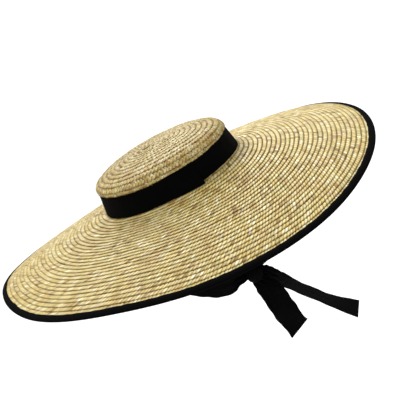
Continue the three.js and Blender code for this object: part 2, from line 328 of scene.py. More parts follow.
@dataclass(frozen=True)
class WheatStrawPlait:
    """Split wheat straw, dried and plaited flat, then sewn.

    The eye sees a column of slanted glossy pads in each row, golden, cream, tan and greenish by chance, with
    dull specks and with longer patches of warmer and paler straw. A dark line of painted shade, broken up by the
    pads, runs where a row dips under the next, and the grooves and the row's edges get painted shade too. The
    painted shade at the edges is made deepest near the crown. The fibres are drawn 0.4 mm apart, coarser than
    real ones, so that they show from close by.
    """

    pad_mm: float
    flat_mm: float
    rim_mm: float
    name: str
    column_edge: float = 0.3  # how far across the plait its second column of pads starts
    groove: float = 0.42  # the share of a pad's length over which it rises out of a groove
    groove_reach: float = 0.14  # how much further across the painted shade of the dip reaches in a groove
    notch: float = 0.36  # how light the painted shade at the bottom of a groove is
    dip_from: float = 0.32  # where across a row it starts and ends to come out from under the next; the shade there is painted
    dip_to: float = 0.56
    dip_dark: float = 0.2  # how light the painted shade of the dip is at the darkest and at the lightest pads
    dip_light: float = 0.8
    edge_depth: float = 0.64  # how dark the painted shade at a row's edge is at its darkest pads
    edge_least: float = 0.42  # the share of that which it keeps at its lightest pads
    unbroken: float = 0.5  # the share of that which it keeps away from the grooves
    edge_shade_from: float = 1.75  # where the painted shade at the edge starts and ends, in millimetres from the plait's side
    edge_shade_to: float = 0.1
    deep_edge_shade_mm: float = 125.0  # how far from the hat's middle the painted edge shade starts to weaken, and where it is at its plain depth
    plain_edge_shade_mm: float = 200.0
    # how much deeper the painted edge shade is near the hat's middle
    edge_shade_deepening: float = 2.3
    fibre_mm: float = 0.4
    fibre_long_mm: float = 5.0
    fibre_high_mm: float = 0.2
    patch_mm: float = 38.0
    bundle_mm: float = 70.0
    speck_mm: float = 2.4
    warm_depth: float = 0.55
    pale_depth: float = 0.5
    speck_depth: float = 0.35
    smoothest: float = 0.36
    roughest: float = 0.62
    shine: float = 0.55
    golden: str = "#d4ba67"
    cream: str = "#e4d089"
    pale: str = "#f8efc5"
    tan: str = "#b4954c"
    green: str = "#c0b26c"
    brown: str = "#8c682a"
    warm: str = "#b48a46"
    # the colour of the painted shade in the grooves, the dips and at the row edges
    gap: str = "#382002"

    def material(self) -> bpy.types.Material:
        """Builds the node tree.

        Returns:
            The material.
        """
        made = bare_material(self.name)
        tree = made.node_tree
        place = add_node(tree, "SeparateXYZ", (add_node(tree, "UVMap", uv_map="flat"),))
        along, rounds = place.outputs["X"], place.outputs["Y"]
        half = self.flat_mm + self.rim_mm / 2
        folded = add_node(tree, "Math", (rounds, half), operation="PINGPONG")
        under = add_node(tree, "Math", (rounds, half), operation="GREATER_THAN")
        signed = add_node(tree, "Math", (folded, self.flat_mm), operation="DIVIDE")
        from_edge = add_node(tree, "Math", (signed, under), operation="SUBTRACT")
        inward = add_node(tree, "Math", (from_edge,), operation="ABSOLUTE")
        column = add_node(tree, "Math", (inward, self.column_edge), operation="GREATER_THAN")
        shift = add_node(tree, "Math", (column, 0.5), operation="MULTIPLY")
        phase = add_node(tree, "Math", (along, 1 / self.pad_mm, shift), operation="MULTIPLY_ADD")
        number = add_node(tree, "Math", (phase,), operation="FLOOR")
        pad = add_node(tree, "CombineXYZ", (number, column, under))
        dice = add_node(tree, "TexWhiteNoise", (pad,), noise_dimensions="3D")
        chance = add_node(tree, "SeparateColor", (dice.outputs["Color"],))
        colour = self.splints(tree, dice.outputs["Value"], along)
        # painted shade: grooves, dips under the next row and row edges are darkened towards the gap colour
        lit = self.gaps(tree, phase, inward, chance.outputs[0])
        bright = self.edges(tree, lit, folded, rounds, chance.outputs[2])
        gap = linear(self.gap)
        shown = add_node(tree, "Mix", {"Factor": bright, "A": gap, "B": colour}, data_type="RGBA")
        slow = add_node(tree, "Math", (along, self.fibre_long_mm), operation="DIVIDE")
        fine = add_node(tree, "Math", (folded, self.fibre_mm), operation="DIVIDE")
        fibres = add_node(tree, "CombineXYZ", (slow, fine, under))
        fibre = add_node(tree, "TexNoise", {"Vector": fibres, "Scale": 1.0, "Detail": 2.0})
        bump = {"Strength": 0.4, "Distance": self.fibre_high_mm * MM, "Height": fibre}
        gloss = {"Value": chance.outputs[1], "To Min": self.smoothest, "To Max": self.roughest}
        # the painted shade also lowers the gloss in the grooves, dips and edges
        shine = add_node(tree, "Math", (bright, self.shine), operation="MULTIPLY")
        surface = {
            "Base Color": shown,
            "Roughness": add_node(tree, "MapRange", gloss),
            "Specular IOR Level": shine,
            "Normal": add_node(tree, "Bump", bump),
        }
        add_node(tree, "OutputMaterial", (add_node(tree, "BsdfPrincipled", surface),))
        return made

    def splints(self, tree: bpy.types.NodeTree, value: Signal, along: Signal) -> bpy.types.Node:
        """Gives each pad its colour, with specks and with patches where one straw or bundle differs.

        Args:
            tree: the node tree.
            value: each pad's own chance.
            along: millimetres along the plait.

        Returns:
            The node that gives the colour.
        """
        stops = (
            (0.0, self.brown), (0.06, self.tan), (0.2, self.golden), (0.5, self.cream), (0.66, self.golden),
            (0.82, self.green), (0.93, self.cream), (1.0, self.pale),
        )
        colour = add_node(tree, "ValToRGB", (value,))
        elements = colour.color_ramp.elements
        while len(elements) < len(stops):
            elements.new(0.5)
        for element, (position, code) in zip(elements, stops):
            element.position = position
            element.color = linear(code)
        where = add_node(tree, "TexCoord").outputs["Object"]
        patches, specks = [
            add_node(tree, "TexNoise", {"Vector": where, "Scale": 1000 / size, "Detail": detail})
            for size, detail in ((self.patch_mm, 3.0), (self.speck_mm, 1.0))
        ]
        run = add_node(tree, "Math", (along, self.bundle_mm), operation="DIVIDE")
        bundles = add_node(tree, "TexNoise", {"W": run, "Detail": 2.0}, noise_dimensions="1D")
        for noise, full, most, code in (
            (patches, 0.8, self.warm_depth, self.warm),
            (bundles, 0.8, self.pale_depth, self.pale),
            (specks, 0.7, self.speck_depth, self.brown),
        ):
            span = {"Value": noise, "From Min": 0.5, "From Max": full, "To Max": most}
            mixed = {"Factor": add_node(tree, "MapRange", span), "A": colour, "B": linear(code)}
            colour = add_node(tree, "Mix", mixed, data_type="RGBA")
        return colour

    def gaps(self, tree: bpy.types.NodeTree, phase: Signal, inward: Signal, chance: Signal) -> bpy.types.Node:
        """Paints shade into the grooves between pads, and into the dip under the next row in dashes.

        Args:
            tree: the node tree.
            phase: pads counted along the plait.
            inward: how far across the plait, from the side that is tucked under.
            chance: each pad's own chance.

        Returns:
            The node that gives 0 in a gap and 1 on a pad.
        """
        beside = add_node(tree, "Math", (phase,), operation="FRACT")
        groove = add_node(tree, "MapRange", {"Value": beside, "From Max": self.groove}, **SMOOTH)
        reach = (groove, self.groove_reach, inward)
        wider = add_node(tree, "Math", reach, operation="MULTIPLY_ADD")
        span = {"Value": wider, "From Min": self.dip_from, "From Max": self.dip_to}
        # painted shade of the dip under the next row
        dip = add_node(tree, "MapRange", span, **SMOOTH)
        dashes = {"Value": chance, "From Min": 0.1, "To Min": self.dip_dark, "To Max": self.dip_light}
        least = add_node(tree, "MapRange", dashes)
        line = add_node(tree, "Math", (dip, least), operation="MAXIMUM")
        notch = add_node(tree, "MapRange", {"Value": groove, "To Min": self.notch})
        return add_node(tree, "Math", (line, notch), operation="MULTIPLY")

    def edges(
        self, tree: bpy.types.NodeTree, lit: Signal, folded: Signal, rounds: Signal, chance: Signal
    ) -> bpy.types.Node:
        """Paints shade on the plait's edges, which stand in the shade of the step to the next row.

        Args:
            tree: the node tree.
            lit: how light each place is so far.
            folded: millimetres from the tucked side, the same on both faces.
            rounds: millimetres round the strip.
            chance: each pad's own chance.

        Returns:
            The node that gives 0 in the dark and 1 in the light.
        """
        side = self.flat_mm
        # painted shade along the row's edge, at the step to the next row
        edge_shade_span = {"Value": folded, "From Min": side - self.edge_shade_from, "From Max": side - self.edge_shade_to}
        outer = add_node(tree, "MapRange", edge_shade_span, **SMOOTH)
        inner = add_node(tree, "Math", (rounds, 2 * side + self.rim_mm), operation="GREATER_THAN")
        edge = add_node(tree, "Math", (outer, inner), operation="MAXIMUM")
        depths = {"Value": chance, "To Min": self.edge_least * self.edge_depth, "To Max": self.edge_depth}
        depth = add_node(tree, "MapRange", depths)
        # the painted edge shade is made deeper near the hat's middle
        where = add_node(tree, "TexCoord").outputs["Object"]
        away = add_node(tree, "VectorMath", (where,), operation="LENGTH")
        nearer_middle = {
            "Value": away.outputs["Value"],
            "From Min": self.deep_edge_shade_mm * MM,
            "From Max": self.plain_edge_shade_mm * MM,
            "To Min": self.edge_shade_deepening,
            "To Max": 1.0,
        }
        deeper = add_node(tree, "MapRange", nearer_middle)
        sunk = add_node(tree, "Math", (depth, deeper), operation="MULTIPLY", use_clamp=True)
        beside = {"Value": lit, "From Min": self.notch, "To Min": 1.0, "To Max": self.unbroken}
        broken = add_node(tree, "MapRange", beside)
        dashed = add_node(tree, "Math", (sunk, broken), operation="MULTIPLY")
        dark = add_node(tree, "Math", (edge, dashed), operation="MULTIPLY")
        light = add_node(tree, "Math", (1.0, dark), operation="SUBTRACT")
        return add_node(tree, "Math", (lit, light), operation="MULTIPLY")


@dataclass(frozen=True)
class BlackGrosgrain:
    """Viscose grosgrain ribbon, dyed black and woven with round ribs across it.

    The eye sees a deep matt black, almost without a sheen. The ribs are about 1 mm apart and show only
    where they catch the light.
    """

    name: str
    black: str = "#030303"
    worn: str = "#060607"
    rib_mm: float = 1.0
    rib_high_mm: float = 0.2
    cloud_mm: float = 16.0
    roughness: float = 0.85
    sheen: float = 0.03

    def material(self) -> bpy.types.Material:
        """Builds the node tree.

        Returns:
            The material.
        """
        made = bare_material(self.name)
        tree = made.node_tree
        place = add_node(tree, "SeparateXYZ", (add_node(tree, "UVMap", uv_map="flat"),))
        ribs = (place.outputs["X"], math.tau / self.rib_mm)
        angle = add_node(tree, "Math", ribs, operation="MULTIPLY")
        rib = add_node(tree, "Math", (angle,), operation="SINE")
        where = add_node(tree, "TexCoord").outputs["Object"]
        clouds = {"Vector": where, "Scale": 1000 / self.cloud_mm, "Detail": 3.0}
        cloudy = add_node(tree, "TexNoise", clouds)
        blacks = {"Factor": cloudy, "A": linear(self.black), "B": linear(self.worn)}
        bump = {"Strength": 0.5, "Distance": self.rib_high_mm * MM, "Height": rib}
        surface = {
            "Base Color": add_node(tree, "Mix", blacks, data_type="RGBA"),
            "Roughness": self.roughness,
            "Specular IOR Level": self.sheen,
            "Normal": add_node(tree, "Bump", bump),
        }
        add_node(tree, "OutputMaterial", (add_node(tree, "BsdfPrincipled", surface),))
        return made


@dataclass(frozen=True)
class HatForm:
    """The hat's upper face as the solids have it, in millimetres.

    A place on the crown is an angle and a way from the middle of its top outwards and down to its foot. A
    place on the brim is an angle and a way from the crown's foot to the edge.
    """

    half_width: float = 88.0
    half_length: float = 98.0
    wall_height: float = 30.5
    wall_taper: float = 4.8
    # The crown's line from its top's middle down: inset, height, and how much fuller the right side is.
    line: tuple[tuple[float, float, float], ...] = (
        (94, 52.5, 0), (88, 52.5, 0), (70, 52, 1.3), (54, 50.4, 3), (42, 48.3, 4.6), (32, 46, 5.8),
        (23, 43.5, 6.3), (15, 41.3, 6), (9, 38.5, 4.5), (5.8, 34.5, 2), (4.8, 30.5, 0), (0, 0, 0), (0, -8, 0),
    )
    bulge: float = 1.1
    bulge_at: float = 36.0
    bulge_spread: float = 5.0
    pinch: float = 0.8
    pinch_front: float = 1.1
    pinch_back: float = 2.4
    pinch_ends: float = 32.5
    pinch_fade: float = 3.0
    foot_rise: float = 1.7
    foot_rise_at: float = 285.0
    foot_rise_front: float = 1.4
    foot_rise_front_at: float = 318.0
    foot_spread: float = 9.0
    brim_radius: float = 266.0
    turn_down: float = 11.0
    straw: float = 1.8
    # The edge's height, and how far the brim bows up on the way there, at even steps round the hat.
    edges: tuple[float, ...] = (-47, -49, -63, -70, -65, -42, -24, -28, -33, -50, -58.5, -54)
    bulges: tuple[float, ...] = (2, 4, 4.5, 3.5, 1.5, 1, 3, 6, 8, 7, 4, 2)

    def around(self, values: tuple[float, ...], degrees: np.ndarray) -> np.ndarray:
        """Smooth values at angles, from values at even steps round the hat."""
        return smooth_value(values, degrees / TURN * len(values), closed=True)

    def brim_width(self) -> float:
        """The brim's width at the wearer's sides, seen from above."""
        return self.brim_radius - self.half_width

    def brim(self, degrees: np.ndarray, way: np.ndarray) -> np.ndarray:
        """Points of the brim's upper face.

        Args:
            degrees: angles round the hat.
            way: millimetres out from the crown's foot.

        Returns:
            The points, in millimetres.
        """
        share = way / self.brim_width()
        angle = np.radians(degrees)
        width = self.half_width + self.brim_width() * share
        length = self.half_length + (self.brim_radius - self.half_length) * share
        bow = 4 * self.around(self.bulges, degrees) + self.turn_down * (2 * share - 1)
        fall = self.around(self.edges, degrees) * share + bow * share * (1 - share)
        rise = self.rise(degrees) * np.exp(-np.maximum(way, 0) / self.foot_spread)
        return np.stack([width * np.sin(angle), -length * np.cos(angle), fall + rise], axis=-1)

    def rise(self, degrees: np.ndarray) -> np.ndarray:
        """Gives how far the brim curves up where it meets the crown, at the front and the right.

        Args:
            degrees: angles round the hat.

        Returns:
            Millimetres up.
        """
        front = np.maximum(np.cos(np.radians(degrees - self.foot_rise_front_at)), 0) ** 6
        right = np.maximum(np.cos(np.radians(degrees - self.foot_rise_at)), 0) ** 1.5
        return self.foot_rise * right + self.foot_rise_front * front

    def drawn_in(self, degrees: np.ndarray, share: np.ndarray) -> np.ndarray:
        """Gives how far the band draws the crown's wall in at its two ends.

        Args:
            degrees: angles round the hat.
            share: shares of the band's height.

        Returns:
            Millimetres in.
        """
        end = np.cos(np.radians(degrees))
        front = self.pinch_front * share * np.maximum(end, 0) ** 2
        return front + self.pinch_back * (1.1 - 0.1 * share) * np.maximum(-end, 0) ** 2

    def profile(self, fuller: float) -> tuple[np.ndarray, np.ndarray, np.ndarray, float]:
        """Smooths the crown's line.

        Args:
            fuller: how much of the fuller side it has, from 0 to 1.

        Returns:
            Millimetres from the middle of the top, the inset and the height there, and how far the foot is.
        """
        table = np.array(self.line)
        inset, height = table[:, 0], table[:, 1] + fuller * table[:, 2]
        run = np.concatenate([[0.0], np.cumsum(np.hypot(np.diff(inset), np.diff(height)))])
        step, window = 0.5, 9
        way = np.arange(0, run[-1], step)
        soft = np.ones(window) / window
        drawn = [np.pad(np.interp(way, run, column), window // 2, "edge") for column in (inset, height)]
        inset, height = [np.convolve(column, soft, "valid") for column in drawn]
        return way - run[1], inset, height, float(run[-2] - run[1])

    def crown_way(self) -> float:
        """How long the crown's line is from the middle of its top to its foot, on the plainer side."""
        return self.profile(0.0)[3]

    def crown(self, degrees: np.ndarray, way: np.ndarray) -> np.ndarray:
        """Points of the crown's outer face.

        Args:
            degrees: angles round the hat.
            way: millimetres out and down from the middle of the top, on the plainer side.

        Returns:
            The points, in millimetres.
        """
        plain, full = self.profile(0.0), self.profile(1.0)
        angle = np.radians(degrees)
        right = np.maximum(-np.sin(angle), 0) ** 2
        far = way * full[3] / plain[3]
        inset, height = [
            np.interp(way, plain[0], plain[i]) * (1 - right) + np.interp(far, full[0], full[i]) * right
            for i in (1, 2)
        ]
        over = (height - self.bulge_at) / self.bulge_spread
        out = self.bulge * (1 + 0.5 * np.cos(angle) ** 2) * np.exp(-(over**2))
        tight = self.pinch + self.drawn_in(degrees, np.clip(height / self.wall_height, 0, 1))
        inset = inset - out + tight * np.clip((self.pinch_ends - height) / self.pinch_fade, 0, 1)
        width = self.half_width - inset
        length = self.half_length - inset
        return np.stack([width * np.sin(angle), -length * np.cos(angle), height], axis=-1)

    def wall(self, degrees: np.ndarray, height: np.ndarray, off: np.ndarray) -> np.ndarray:
        """Gives points beside the crown's wall, which lean in with it.

        Args:
            degrees: angles round the hat.
            height: millimetres over the crown's foot.
            off: millimetres out from the wall.

        Returns:
            The points, in millimetres.
        """
        inset = self.wall_taper * np.maximum(height, 0) / self.wall_height - off
        angle = np.radians(degrees)
        x = (self.half_width - inset) * np.sin(angle)
        y = -(self.half_length - inset) * np.cos(angle)
        return np.stack([x, y, height + 0 * x], axis=-1)


def lifted(surface: Place, degrees: np.ndarray, way: np.ndarray, height: np.ndarray) -> np.ndarray:
    """Gives points at a height over a surface, square to it.

    Args:
        surface: takes angles and ways, and gives points.
        degrees: angles round the hat.
        way: millimetres out along the surface.
        height: millimetres over it.

    Returns:
        The points, in millimetres.
    """
    step = 0.2
    out = surface(degrees, way + step) - surface(degrees, way - step)
    along = surface(degrees + step, way) - surface(degrees - step, way)
    normal = np.cross(out, along)
    flat = np.linalg.norm(normal, axis=-1) < 1e-4
    normal[flat] = (0, 0, 1)
    normal *= np.where(normal[..., 2:] < 0, -1, 1)
    return surface(degrees, way) + unit(normal) * height[..., None]


@dataclass(frozen=True)
class PlaitRun:
    """A stretch of plait that is sewn in a spiral on one surface, between low and high on it."""

    name: str
    surface: Place
    start: float
    turns: float
    low: float
    high: float
    nodes: tuple[str, ...]
    pieces: int
    first_angle: float = 250.0


@dataclass(frozen=True)
class SewnPlait:
    """The flat plait: its sizes in millimetres, and how its rows lie.

    The border is the place across, from -1 to 1, where the two columns of slanted pads meet. The lie is how
    deep the plait sits in the surface, and past_limit is the share of a run's overshoot that is left.
    """

    width: float = 8.1
    row: float = 6.1
    thickness: float = 1.0
    tilt: float = 0.56
    pad: float = 4.8
    pad_steps: int = 4
    pad_shape: tuple[float, ...] = (-1.0, 0.5, 0.8, 0.3)
    pad_least: float = 0.6
    pad_most: float = 1.35
    slant: float = -4.0
    relief: float = 0.26
    scallop: float = 0.5
    border: float = -0.4
    drift: float = 0.6
    unevenness: float = 0.2
    stretch: float = 2.5
    flat_width: float = 8.0
    lie: float = -0.9
    past_limit: float = 0.08
    outline: Outline = Outline(
        across=(-1.0, -0.5, 0.0, 0.5, 1.0, 1.0, 0.5, 0.0, -0.5, -1.0),
        up=(0.4, 0.95, 0.9, 1.05, 0.7, -0.7, -1.0, -0.95, -1.0, -0.7),
        rim=0.25,
    )

    def spiral(self, run: PlaitRun) -> tuple[np.ndarray, np.ndarray]:
        """Measures a run's middle line.

        Args:
            run: the run of plait.

        Returns:
            The turns at many places along it, and the millimetres sewn up to each.
        """
        turn = np.linspace(0, run.turns, int(run.turns * TURN))
        way = np.clip(run.start + self.row * turn, run.low, run.high)
        line = run.surface(run.first_angle + TURN * turn, way)
        steps = np.linalg.norm(np.diff(line, axis=0), axis=1)
        return turn, np.concatenate([[0.0], np.cumsum(steps)])

    def point(
        self, run: PlaitRun, table: tuple[np.ndarray, np.ndarray], step: np.ndarray, share: np.ndarray
    ) -> np.ndarray:
        """Puts corners of the plait on their surface.

        Args:
            run: the run of plait.
            table: the run's turns and millimetres.
            step: which station along the plait each corner belongs to.
            share: shares of the way round the strip's outline.

        Returns:
            The points, in millimetres.
        """
        turn_table, sewn = table
        across, up = self.outline.at(share)
        outer = self.pad_profile(step, 0)
        inner = self.pad_profile(step, self.pad_steps // 2)
        pad = np.where(across > self.border, outer, inner)
        pad = np.where(up < 0, -pad, pad)
        length = step * self.pad / self.pad_steps
        length = length + self.stretch * slow_wave(length, (131.0, 67.0, 37.0), SEED + 2)
        turn = np.interp(length + self.slant * np.abs(across - self.border), sewn, turn_table)
        drift = self.drift * slow_wave(length, (310.0, 173.0, 61.0), SEED)
        reach = across * self.width / 2 + np.sign(across) * (np.abs(across) > 0.9) * self.scallop * pad
        way = run.start + self.row * turn + drift + reach
        kept = np.clip(way, run.low, run.high)
        way = kept + self.past_limit * (way - kept)
        lie = self.lie + self.unevenness * slow_wave(length, (97.0, 41.0, 23.0), SEED + 1)
        height = lie + self.tilt * across + up * (self.thickness / 2 + self.relief * pad)
        return lifted(run.surface, run.first_angle + TURN * turn, way, height)

    def pad_profile(self, step: np.ndarray, shift: int) -> np.ndarray:
        """Gives the pads' heights, with a little chance in each.

        Args:
            step: stations along the plait.
            shift: how many stations the column of pads is shifted by.

        Returns:
            The height at each station, as a share of the relief.
        """
        place = step.astype(int) + shift
        shape = np.array(self.pad_shape)[place % self.pad_steps]
        chance = np.random.default_rng(SEED + shift).uniform(self.pad_least, self.pad_most, CHANCES)
        return shape * chance[(place // self.pad_steps) % CHANCES]

    def sew(self, run: PlaitRun, finish: bpy.types.Material) -> None:
        """Builds a run of plait in pieces that follow one another.

        Args:
            run: the run of plait.
            finish: its material.
        """
        table = self.spiral(run)
        stations = int(table[1][-1] / self.pad * self.pad_steps) - self.pad_steps
        cuts = np.linspace(0, stations, run.pieces + 1).astype(int)
        for number, (first, last) in enumerate(zip(cuts[:-1], cuts[1:])):
            count = last - first

            def place(u: np.ndarray, v: np.ndarray) -> np.ndarray:
                """Corners of this stretch."""
                return self.point(run, table, first + np.rint(u * count), v)

            def unroll(u: np.ndarray, v: np.ndarray) -> np.ndarray:
                """Millimetres along the whole run and round the strip."""
                along = (first + u * count) * self.pad / self.pad_steps
                return np.stack([along, self.outline.unrolled(v, self.flat_width)], axis=-1)

            name = f"{run.name}_{number + 1}" if run.pieces > 1 else run.name
            piece = bent_grid(name, (count, self.outline.corners()), place, unroll)
            dress(piece, finish, run.nodes)


@dataclass(frozen=True)
class StrawBody:
    """The crown and the brim, sewn from one plait. On the crown its rows are pressed flat."""

    form: HatForm
    top_start: float = 1.0
    brim_start: float = 2.6
    under_band: float = 3.0
    edge_gap: float = 1.5
    brim_rows: SewnPlait = SewnPlait()
    crown_rows: SewnPlait = SewnPlait(
        width=9.3, row=7.3, thickness=0.82, tilt=0.22, slant=-3.4, relief=0.38, border=0.1
    )

    def build(self) -> None:
        """Sews both and dresses them."""
        plait = self.brim_rows
        rim = plait.outline.rim * plait.flat_width / 2
        brim_straw = WheatStrawPlait(plait.pad, plait.flat_width, rim, "wheat_straw_plait")
        crown_straw = WheatStrawPlait(
            plait.pad,
            plait.flat_width,
            rim,
            "wheat_straw_plait_pressed_and_shaded",
            edge_depth=0.3,
            unbroken=0.4,
            notch=0.28,
            column_edge=0.55,
            # painted shade: the crown's straw colours are a darker copy, to offset how the lamps light its top
            golden="#bfa85e",
            cream="#d4c282",
            pale="#f4eac4",
            edge_shade_from=0.75,
            speck_depth=0.9,
        )
        foot = self.form.crown_way() + self.form.straw
        crown = PlaitRun(
            name="crown_plait",
            surface=self.form.crown,
            start=self.top_start,
            turns=(foot + self.top_start) / self.crown_rows.row,
            low=-5.0,
            high=foot,
            nodes=("crown",),
            pieces=1,
        )
        edge = self.form.brim_width() - self.edge_gap
        brim = PlaitRun(
            name="brim_plait",
            surface=self.form.brim,
            start=self.brim_start - plait.row,
            turns=(edge - plait.width / 2 - self.brim_start + plait.row) / plait.row,
            low=-self.under_band,
            high=edge,
            nodes=("brim",),
            pieces=4,
        )
        self.crown_rows.sew(crown, crown_straw.material())
        plait.sew(brim, brim_straw.material())


@dataclass(frozen=True)
class EdgeBinding:
    """The ribbon that is folded over the brim's edge, with its ends joined at the back.

    Its outline is in millimetres: how far in from the edge each corner is, and how far up.
    """

    form: HatForm
    width: float = 8.5
    steps: int = 900
    waver: float = 0.35
    pucker: float = 0.16
    join_at: float = 196.0
    join_degrees: float = 3.2
    join_wider: float = 0.9
    join_thicker: float = 0.4
    fold_inset: float = 1.5
    fold_height: float = -0.9
    outline: Outline = Outline(
        across=(8.5, 8.2, 4.5, 1.6, 0.5, 0.1, 0.5, 1.6, 4.5, 8.2, 8.5, 8.2, 1.4, 0.9, 1.4, 8.2),
        up=(0.35, 0.7, 0.75, 0.65, 0.1, -0.9, -1.9, -2.4, -2.6, -2.5, -2.15, -2.0, -1.9, -0.9, 0.1, 0.2),
    )

    def place(self, u: np.ndarray, v: np.ndarray) -> np.ndarray:
        """Puts the folded outline along the edge.

        Args:
            u: shares round the hat.
            v: shares round the outline.

        Returns:
            The points, in millimetres.
        """
        inset, height = self.outline.at(v)
        degrees = (u % 1.0) * TURN
        inner = np.clip((inset - self.fold_inset) / (self.width - self.fold_inset), 0, 1)
        wave = slow_wave(degrees, (TURN / 71, TURN / 113, TURN / 29), SEED + 3)
        away = (degrees - self.join_at + TURN / 2) % TURN - TURN / 2
        lap = ((away > 0) & (away < self.join_degrees)).astype(float)
        inset = inset + inner * (self.waver * wave + self.join_wider * lap)
        side = np.sign(height - self.fold_height)
        height = height + side * (self.pucker * wave * inner + self.join_thicker * lap)
        return self.form.brim(degrees, self.form.brim_width() - inset) + height[:, None] * [0, 0, 1]

    def build(self, finish: bpy.types.Material) -> None:
        """Args:
            finish: its material.
        """
        rounds = math.tau * self.form.brim_radius

        def unroll(u: np.ndarray, v: np.ndarray) -> np.ndarray:
            """Millimetres round the hat and across the ribbon."""
            return np.stack([u * rounds, v * 4 * self.width], axis=-1)

        piece = bent_grid("edge_binding", (self.steps, self.outline.corners()), self.place, unroll)
        dress(piece, finish, ("brim_binding",))


@dataclass(frozen=True)
class HatBand:
    """The ribbon round the crown's foot, and its end lapped over it at the wearer's right."""

    form: HatForm
    foot: float = 0.5
    top: float = 31.0
    front_lower: float = 0.2
    foot_off: float = 0.65
    top_off: float = 0.75
    thickness: float = 0.5
    long: float = 585.0
    sunk: float = 0.3
    waver: float = 0.35
    lap_start: float = 266.0
    lap_end: float = 290.0
    lap_off: float = 0.55
    lap_wider: float = 0.1
    lap_flare: float = 5.2
    outline: Outline = flat_outline(9)

    def off(self, degrees: np.ndarray, share: np.ndarray, up: np.ndarray) -> np.ndarray:
        """Gives how far the ribbon stands out from the crown's wall.

        Args:
            degrees: angles round the hat.
            share: shares of the band's height.
            up: the outline's places through the ribbon.

        Returns:
            Millimetres out.
        """
        lean = self.foot_off + (self.top_off - self.foot_off) * share
        return lean + up * self.thickness / 2 - self.form.drawn_in(degrees, share)

    def place(self, u: np.ndarray, v: np.ndarray) -> np.ndarray:
        """Puts the band's outline round the crown.

        Args:
            u: shares round the hat.
            v: shares round the outline.

        Returns:
            The points, in millimetres.
        """
        across, up = self.outline.at(v)
        degrees = (u % 1.0) * TURN
        share = (across + 1) / 2
        wave = slow_wave(degrees, (TURN / 9, TURN / 16, TURN / 31), SEED + 5)
        foot = self.foot - self.sunk + self.form.rise(degrees)
        top = self.top - self.front_lower * np.maximum(np.cos(np.radians(degrees)), 0) ** 2
        height = foot + (top - foot) * share + self.waver * wave * (share - 0.4)
        off = self.off(degrees, share, up) + 0.2 * wave * np.abs(across)
        return self.form.wall(degrees, height, off)

    def place_lap(self, u: np.ndarray, v: np.ndarray) -> np.ndarray:
        """Puts the lapped end over the band, with its foot standing off.

        Args:
            u: shares of the lap's length.
            v: shares round the outline.

        Returns:
            The points, in millimetres.
        """
        across, up = self.outline.at(v)
        share = (across + 1) / 2
        degrees = self.lap_start + (self.lap_end - self.lap_start) * u
        foot = self.foot - self.lap_wider + (self.form.rise(degrees) - 0.4) * (1 - u)
        height = foot + (self.top + self.lap_wider - foot) * share
        flare = self.lap_flare * (1 - share) ** 2 * u
        return self.form.wall(degrees, height, self.off(degrees, share, up) + self.lap_off + flare)

    def build(self, finish: bpy.types.Material) -> None:
        """Builds the band and its lap.

        Args:
            finish: their material.
        """
        wide = self.top - self.foot
        lap_long = (self.lap_end - self.lap_start) / TURN * self.long

        def unroll(long: float) -> Place:
            """The flat place on a strip of this length."""
            return lambda u, v: np.stack([u * long, self.outline.unrolled(v, wide)], axis=-1)

        band = bent_grid("hat_band", (360, self.outline.corners()), self.place, unroll(self.long))
        dress(band, finish, ("hat_band",))
        lap = bent_grid("band_lap", (24, self.outline.corners()), self.place_lap, unroll(lap_long))
        dress(lap, finish, ("band_lap",))


@dataclass(frozen=True)
class Row:
    """One row of a ribbon: its middle, its width there, and how the width lies in degrees."""

    x: float
    y: float
    z: float
    width: float
    lean: float = 0.0
    turn: float = 0.0


